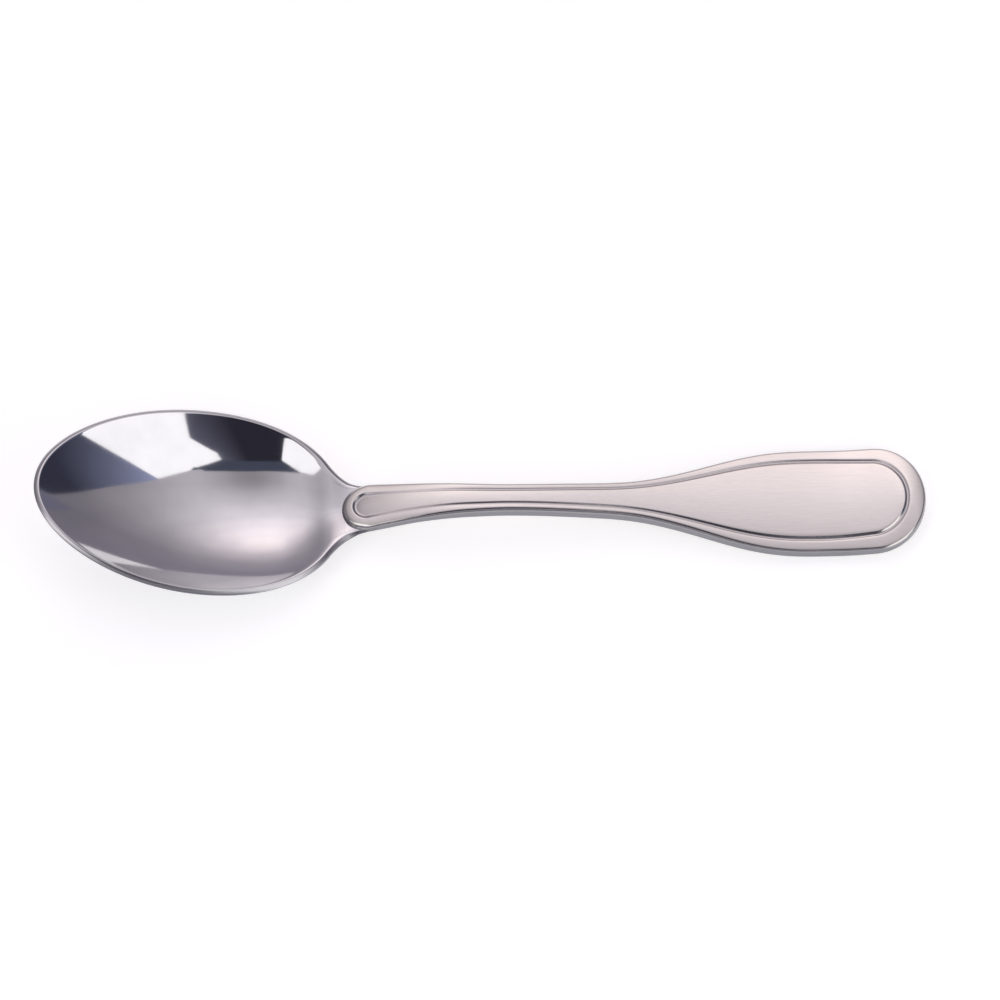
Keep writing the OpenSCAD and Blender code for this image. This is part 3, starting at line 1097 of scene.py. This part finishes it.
def stand(name: str, points: Sequence, faces: Sequence, material: bpy.types.Material) -> bpy.types.Object:
    """Stands a mesh in the studio.

    Args:
        name: name of the object.
        points: its points in metres.
        faces: its faces, as numbers of its points.
        material: its material.

    Returns:
        The object, which isn't part of the spoon.
    """
    mesh = bpy.data.meshes.new(name)
    mesh.from_pydata(points, [], faces)
    mesh.validate()
    mesh.materials.append(material)
    prop = bpy.data.objects.new(name, mesh)
    bpy.context.scene.collection.objects.link(prop)
    return prop


class Axis(Enum):
    """Axis along which a board's tone changes, by the name of its socket."""

    ACROSS = "X"
    UP = "Z"


@dataclass(frozen=True)
class Fade:
    """Change of a board's tone to another one along an axis, between two places in metres."""

    tone: Tone
    axis: Axis
    span: Pair


@dataclass(frozen=True)
class Board:
    """A flat studio board, given by its corners in metres, that the steel mirrors."""

    name: str
    tone: Tone
    corners: tuple[Point, ...]
    fade: Fade | None = None

    def build(self) -> bpy.types.Object:
        """Stands the board in the studio.

        Returns:
            The board, out of the camera's sight.
        """
        material, tree = new_tree(self.name + "_card")
        colour = self.tone.light()
        if self.fade:
            place = add_node(tree, "ShaderNodeTexCoord", {}).outputs["Object"]
            axes = add_node(tree, "ShaderNodeSeparateXYZ", {"Vector": place})
            share = remap(tree, axes.outputs[self.fade.axis.value], self.fade.span)
            colour = blend(tree, share, colour, self.fade.tone.light())
        emit(tree, colour)
        board = stand(self.name, self.corners, [tuple(range(len(self.corners)))], material)
        board.visible_camera = False
        return board


@dataclass(frozen=True)
class LightDome:
    """A dome of lit cloth round the table. Its light is a glow that falls off with the angle from one
    direction, times a rise from the horizon to the top, less a dim place over the front."""

    radius: float = 3.0
    turns: int = 72
    rises: int = 19
    lowest: float = -60.0
    # Directions of the glow and the dim place, clockwise from +Y and up, in degrees
    glow: Pair = (-1.1, 35.9)
    shade: Pair = (160.0, 77.0)
    # Light by the angle from the glow, its warm tint, and the angle at which that has gone
    glow_falls: tuple[Pair, ...] = (
        *((180, 0.45), (110, 0.45), (80, 0.42), (60, 0.4), (45, 0.48)),
        *((30, 0.63), (20, 0.87), (10, 1.19), (0, 1.48)),
    )
    warm: Point = (1.075, 1.025, 0.945)
    warm_angle: float = 35.0
    # Share of the light that is left, by the angle from the dim place
    shade_falls: tuple[Pair, ...] = ((28, 1.0), (20, 0.92), (14, 0.8), (9, 0.66), (5, 0.55), (0, 0.5))
    # Light by the height on a dome of radius 1, its tints low and high, and where the high one is full
    height_gains: tuple[Pair, ...] = (
        *((0.0, 0.6), (0.1, 0.556), (0.3, 0.551), (0.45, 0.704)),
        *((0.6, 0.972), (0.75, 1.36), (0.9, 1.85), (1.0, 1.89)),
    )
    cool: Point = (0.985, 0.905, 1.11)
    mild: Point = (1.02, 0.945, 1.035)
    mild_height: float = 0.7
    # What the ramps of the glow and the height are divided by, so that their colours stay below 1
    glow_scale: float = 1.6
    height_scale: float = 2.0

    def mesh(self) -> tuple[Array, Array]:
        """Works out the dome's mesh, a part of a sphere.

        Returns:
            Its points, in lines from the lowest ring up to the top, and its faces.
        """
        turn, lift = np.meshgrid(
            np.linspace(0, 2 * np.pi, self.turns + 1),
            np.linspace(math.radians(self.lowest), np.pi / 2, self.rises + 1),
            indexing="ij",
        )
        points = np.stack([np.cos(turn) * np.cos(lift), np.sin(turn) * np.cos(lift), np.sin(lift)], axis=-1)
        i, j = (n.ravel() for n in np.meshgrid(np.arange(self.turns), np.arange(self.rises), indexing="ij"))
        here = i * (self.rises + 1) + j
        beside = here + self.rises + 1
        return self.radius * points.reshape(-1, 3), np.stack([here, here + 1, beside + 1, beside], axis=1)

    def falloff(self, tree: Tree, unit: Socket, towards: Pair, stops: list[tuple[float, Array]]) -> Socket:
        """Colour that changes with the angle from a direction.

        Args:
            tree: tree that gets the nodes.
            unit: direction of the place that is lit.
            towards: the direction that the angle is taken from, clockwise from +Y and up.
            stops: pairs of an angle and a colour, from the widest angle inwards.

        Returns:
            The colour, from a ramp over (1 + cosine of the angle) / 2.
        """
        turn, lift = (math.radians(v) for v in towards)
        ahead = (math.sin(turn) * math.cos(lift), math.cos(turn) * math.cos(lift), math.sin(lift))
        facing = add_node(tree, "ShaderNodeVectorMath", {0: unit, 1: ahead}, operation="DOT_PRODUCT")
        share = remap(tree, facing.outputs["Value"], (-1.0, 1.0))
        shares = ((1 + math.cos(math.radians(angle))) / 2 for angle, _ in stops)
        return colour_ramp(tree, share, [(at, (*colour, 1.0)) for at, (_, colour) in zip(shares, stops)])

    def material(self) -> bpy.types.Material:
        """Builds the lit cloth.

        Returns:
            A material with the light of the glow, times the rise with the height, times what the dim
            place leaves.
        """
        material, tree = new_tree("light_dome_cloth")
        place = add_node(tree, "ShaderNodeTexCoord", {}).outputs["Object"]
        unit = add_node(tree, "ShaderNodeVectorMath", {0: place}, operation="NORMALIZE").outputs["Vector"]
        plain, warm, cool, mild = map(np.array, ((1.0, 1.0, 1.0), self.warm, self.cool, self.mild))
        glows = [
            (angle, mix(plain, warm, max(0.0, 1 - angle / self.warm_angle)) * value / self.glow_scale)
            for angle, value in self.glow_falls
        ]
        gains = [
            (at, (*(mix(cool, mild, min(1.0, at / self.mild_height)) * value / self.height_scale), 1.0))
            for at, value in self.height_gains
        ]
        height = add_node(tree, "ShaderNodeSeparateXYZ", {"Vector": unit}).outputs["Z"]
        light = self.falloff(tree, unit, self.glow, glows)
        shade = self.falloff(tree, unit, self.shade, [(at, plain * value) for at, value in self.shade_falls])
        for other in (colour_ramp(tree, height, gains), shade):
            light = blend(tree, 1.0, light, other, "MULTIPLY")
        emit(tree, light, self.glow_scale * self.height_scale)
        return material

    def build(self) -> bpy.types.Object:
        """Stands the dome round the table.

        Returns:
            The dome, out of the camera's sight.
        """
        dome = stand("light_dome", *self.mesh(), self.material())
        dome.visible_camera = False
        return dome


@dataclass(frozen=True)
class Studio:
    """A light dome with a soft glow behind the spoon, boards in front of it, and a pale table."""

    dome: LightDome = LightDome()
    table_size: float = 5.0
    table_colour: str = "#d8d8d8"
    table_lift: float = 0.53
    # Direction in which the camera looks, in degrees, its distance in metres, what it aims at and its
    # lens in millimetres
    view_turn: float = -1.75
    view_height: float = 64.0
    view_distance: float = 1.0
    aim: Point = (2.77, 0.25, 5.16)
    lens: float = 228.7
    sensor: float = 36.0

    def boards(self) -> list[Board]:
        """Lists the boards.

        Returns:
            The boards that stand in front of the spoon and to its right.
        """

        def front(name: str, tone: Tone, away: float, outline: Outline, fade: Fade | None = None) -> Board:
            """A board across the front, from its corners' places across and up."""
            return Board(name, tone, tuple((x, -away, z) for x, z in outline), fade)

        def right(name: str, tone: Tone, away: float, outline: Outline, fade: Fade | None = None) -> Board:
            """A board on the right, from its corners' places along Y and up."""
            return Board(name, tone, tuple((away, y, z) for y, z in outline), fade)

        def band(start: float, stop: float, low: float, high: float) -> Outline:
            """Corners of an upright rectangle."""
            return ((start, low), (stop, low), (stop, high), (start, high))

        crest = ((0.24, 0.965), (-0.05, 0.915), (-0.3, 0.95))
        white = ((-0.48, 0.0), (0.43, 0.0), (0.43, 1.05), *crest, (-0.54, 1.01), (-0.92, 1.3))
        wing = ((-1.1, 0.0), (-0.4, 0.0), (-0.4, 0.8), (-1.1, 0.5))
        flag = ((-0.12, 0.2), (0.1, 0.2), (0.17, 0.367), (0.135, 0.5), (0.15, 0.62), (-0.14, 0.61))
        rail_foot = ((-0.13, 0.58), (0.13, 0.58), (0.25, 0.724), (0.42, 0.915), (0.42, 1.045))
        side_foot = ((-0.255, 0.0), (0.05, 0.0), (0.05, 0.3), (0.0, 0.573))
        side_crest = ((-0.053, 0.644), (-0.109, 0.728), (-0.17, 0.82), (-0.255, 0.945))
        flag_foot = ((-0.14, 0.2), (0.31, 0.2), (0.197, 0.305), (0.145, 0.36), (0.094, 0.43))
        flag_crest = ((0.036, 0.52), (0.001, 0.569), (-0.067, 0.429), (-0.116, 0.302))
        skirt = ((0.12, 0.0), (0.55, 0.0), (0.4, 0.2), (0.12, 0.2))
        to_slate = Fade(Tone.SLATE, Axis.ACROSS, (0.03, 0.22))
        to_sky = Fade(Tone.SKY, Axis.UP, (0.26, 0.56))
        return [
            front("white_front_board", Tone.WHITE, 0.25, white),
            front("pale_front_wing", Tone.PALE, 0.251, wing),
            front("dark_front_flag", Tone.BLACK, 0.246, flag, to_slate),
            front("navy_top_rail", Tone.RAIL, 0.248, (*rail_foot, *crest, (-0.5, 1.0), (-0.24, 0.69))),
            front("grey_front_strip", Tone.GREY, 0.248, band(-1.1, 0.12, 0.1, 0.2)),
            front("dark_front_skirt", Tone.SLATE, 0.248, band(-1.1, 0.12, 0.0, 0.1)),
            right("white_side_board", Tone.WHITE, 0.425, side_foot + side_crest),
            right("navy_side_rail", Tone.RAIL, 0.424, ((-0.255, 0.9), (-0.19, 0.85), (-0.255, 1.0))),
            right("navy_side_flag", Tone.NAVY, 0.42, flag_foot + flag_crest, to_sky),
            right("grey_side_strip", Tone.GREY, 0.421, band(-0.25, 0.12, 0.0, 0.2)),
            right("dark_side_skirt", Tone.SLATE, 0.421, skirt),
        ]

    def table(self) -> bpy.types.Object:
        """Builds the pale table.

        Returns:
            The table, which keeps the spoon's soft shadow.
        """
        half = self.table_size / 2
        corners = [(-half, -half, 0), (half, -half, 0), (half, half, 0), (-half, half, 0)]
        material, tree = new_tree("matt_white_table")
        paint = add_node(tree, "ShaderNodeBsdfDiffuse", {"Color": linear(self.table_colour)})
        ray = add_node(tree, "ShaderNodeLightPath", {}).outputs
        shown = ray["Is Camera Ray"]
        for kind in ("Is Glossy Ray", "Is Transmission Ray"):
            either = {0: shown, 1: ray[kind]}
            shown = add_node(tree, "ShaderNodeMath", either, operation="ADD", use_clamp=True).outputs["Value"]
        strength = remap(tree, shown, to=(0.0, self.table_lift))
        lift = add_node(tree, "ShaderNodeEmission", {"Strength": strength})
        both = add_node(tree, "ShaderNodeAddShader", {0: paint.outputs["BSDF"], 1: lift.outputs["Emission"]})
        add_node(tree, "ShaderNodeOutputMaterial", {"Surface": both.outputs["Shader"]})
        return stand("table", corners, [(0, 1, 2, 3)], material)

    def surround(self) -> None:
        """Gives the world a plain white, and the picture its plain tone curve."""
        world = bpy.data.worlds.new("white_room")
        world.use_nodes = True
        tree = world.node_tree
        tree.nodes.clear()
        white = add_node(tree, "ShaderNodeBackground", {"Color": (1.0, 1.0, 1.0, 1.0), "Strength": 1.0})
        add_node(tree, "ShaderNodeOutputWorld", {"Surface": white.outputs["Background"]})
        bpy.context.scene.world = world
        bpy.context.scene.view_settings.view_transform = "Standard"

    def camera(self) -> bpy.types.Object:
        """Sets up the camera, which looks down on the spoon from its long side.

        Returns:
            The scene's camera: its axes follow from the turn about the vertical and the height.
        """
        turn, height = math.radians(self.view_turn), math.radians(self.view_height)
        level = math.cos(height)
        right = Vector((math.cos(turn), math.sin(turn), 0.0))
        ahead = Vector((-math.sin(turn) * level, math.cos(turn) * level, -math.sin(height)))
        axes = Matrix((right, right.cross(ahead), -ahead)).transposed()
        place = Vector(self.aim) * MM - ahead * self.view_distance
        data = bpy.data.cameras.new("camera")
        data.sensor_width = self.sensor
        data.lens = self.lens
        camera = bpy.data.objects.new("camera", data)
        camera.matrix_world = Matrix.Translation(place) @ axes.to_4x4()
        bpy.context.scene.collection.objects.link(camera)
        bpy.context.scene.camera = camera
        return camera

    def build(self) -> None:
        """Sets up the whole studio."""
        self.surround()
        self.camera()
        self.table()
        self.dome.build()
        for board in self.boards():
            board.build()
            LOG.info("%s in place", board.name)


def main() -> None:
    """Builds the studio and the spoon, in order."""
    logging.basicConfig(level=logging.INFO, format="%(name)s: %(message)s")
    Studio().build()
    form = SpoonForm()
    Bowl(form).build(MirrorPolishedSteel())
    Handle(form).build(SatinSteel())


if __name__ == "__main__":
    main()
